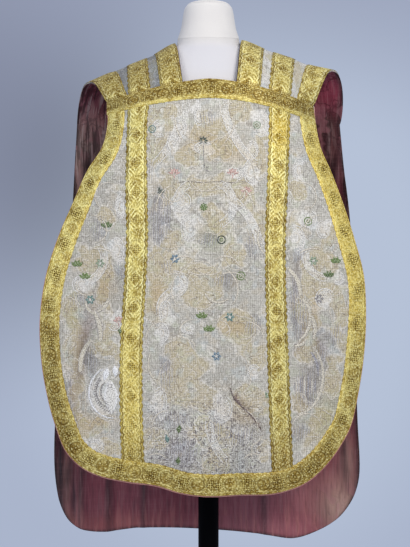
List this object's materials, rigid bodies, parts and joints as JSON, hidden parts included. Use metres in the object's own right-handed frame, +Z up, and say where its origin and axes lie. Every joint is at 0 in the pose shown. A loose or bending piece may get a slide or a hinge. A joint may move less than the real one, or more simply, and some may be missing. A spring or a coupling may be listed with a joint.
{
  "type": "roman chasuble on a limbless dress form",
  "caption": "Stiff fiddle-front vestment of brocaded lampas edged with gold braid, resting on the shoulders of a limbless dress form on a pole and round base.",
  "frame": {"origin": "middle of the base plate's underside, on the floor", "axes": "+Z up the pole, -Y towards the front of the chasuble, +X to the viewer's right"},
  "size_m": [0.6878, 0.38, 1.5093],
  "materials": {
    "lampas": "aged cream and silver lampas with white relief ornament and small coloured brocaded flowers",
    "lining": "worn burgundy silk with a soft sheen",
    "rosette_galloon": "woven gold braid with rosettes and dotted diamonds",
    "diamond_galloon": "woven gold braid with chequered diamonds and scalloped edges",
    "jersey": "matt white cotton jersey",
    "black_paint": "satin black enamel"
  },
  "bodies": {
    "root": {"front_panel": "lampas", "back_panel": "lampas", "front_lining": "lining", "back_lining": "lining", "chest_galloon": "rosette_galloon", "front_edge_galloon": "rosette_galloon", "front_column_galloon_left": "diamond_galloon", "front_column_galloon_right": "diamond_galloon", "neck_galloon": "diamond_galloon", "back_edge_galloon": "diamond_galloon", "back_column_galloon_left": "diamond_galloon", "back_column_galloon_right": "diamond_galloon", "form_torso": "jersey", "form_neck": "jersey", "form_neck_cap": "jersey", "form_flange": "black_paint", "pole": "black_paint", "base_hub": "black_paint", "base_plate": "black_paint"}
  },
  "joints": []
}
